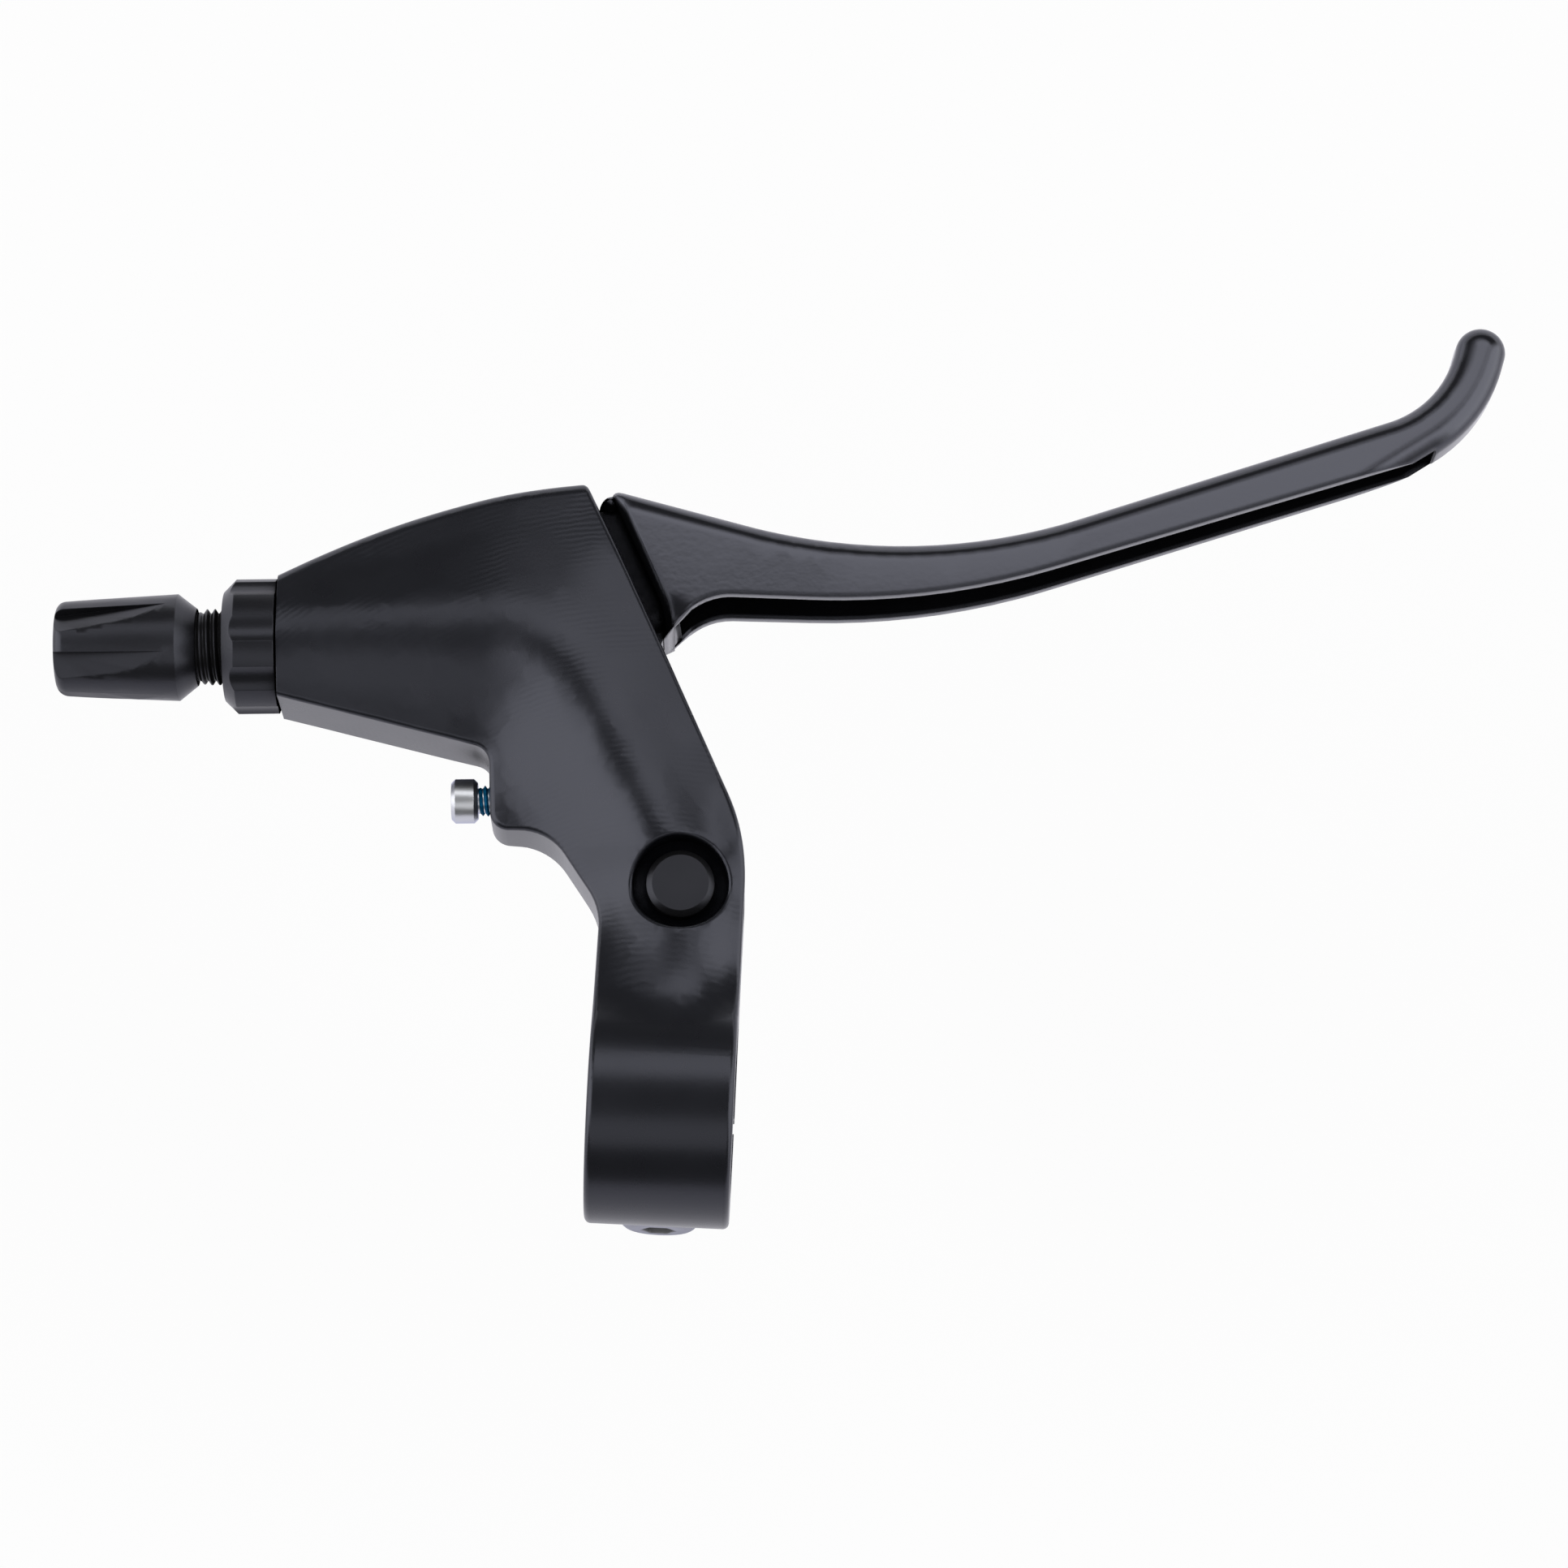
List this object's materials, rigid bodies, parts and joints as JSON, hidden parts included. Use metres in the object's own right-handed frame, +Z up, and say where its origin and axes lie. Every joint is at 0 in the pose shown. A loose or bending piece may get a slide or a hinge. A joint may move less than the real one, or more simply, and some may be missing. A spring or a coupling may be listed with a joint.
{
  "type": "bicycle brake lever",
  "caption": "Brake lever for a flat handlebar: black cast bracket with a bar clamp and cable adjuster, and a curved glossy lever blade that swings on a pivot pin.",
  "frame": {"origin": "on the handlebar's axis, in the middle of the bar clamp", "axes": "+X along the handlebar towards the lever's tip, +Y forward from the handlebar to the lever, +Z up along the lever's pivot"},
  "size_m": [0.1866, 0.1236, 0.0384],
  "materials": {
    "bracket_black": "satin",
    "lever_black": "gloss",
    "axle_black": "matte",
    "clip_steel": "satin",
    "bush_plastic": "matte",
    "anchor_metal": "satin",
    "screw_zinc": "satin",
    "adjuster_metal": "satin",
    "knob_plastic": "matte",
    "nut_plastic": "matte",
    "bolt_grey": "satin"
  },
  "bodies": {
    "bracket": {"bracket": "bracket_black", "pivot_axle": "axle_black", "retaining_ring": "clip_steel", "clamp_bolt": "bolt_grey"},
    "lever": {"lever_blade": "lever_black", "upper_bush": "bush_plastic", "lower_bush": "bush_plastic"},
    "anchor": {"cable_anchor": "anchor_metal"},
    "adjuster": {"adjuster_bolt": "adjuster_metal", "adjuster_knob": "knob_plastic"},
    "lock_nut": {"lock_nut": "nut_plastic"},
    "reach_screw": {"reach_screw": "screw_zinc"}
  },
  "joints": [
    {"name": "lever_pivot", "type": "hinge", "parent": "bracket", "child": "lever", "pos_m": [0.001, 0.0268, 0], "axis": [0, 0, -1], "range_deg": [0, 24]},
    {"name": "anchor_swivel", "type": "hinge", "parent": "lever", "child": "anchor", "pos_m": [-0.01159, 0.06062, 0], "axis": [0, 0, 1], "range_deg": [-5, 30]},
    {"name": "adjuster_turn", "type": "hinge", "parent": "bracket", "child": "adjuster", "pos_m": [-0.0523, 0.058, 0], "axis": [0.998, 0.0628, 0], "range_deg": [-1260, 1800]},
    {"name": "nut_turn", "type": "hinge", "parent": "adjuster", "child": "lock_nut", "pos_m": [-0.0523, 0.058, 0], "axis": [0.998, 0.0628, 0], "range_deg": [0, 1080]},
    {"name": "reach_turn", "type": "hinge", "parent": "bracket", "child": "reach_screw", "pos_m": [-0.024, 0.0387, 0], "axis": [0.998, 0.0628, 0], "range_deg": [-1440, 720]}
  ]
}
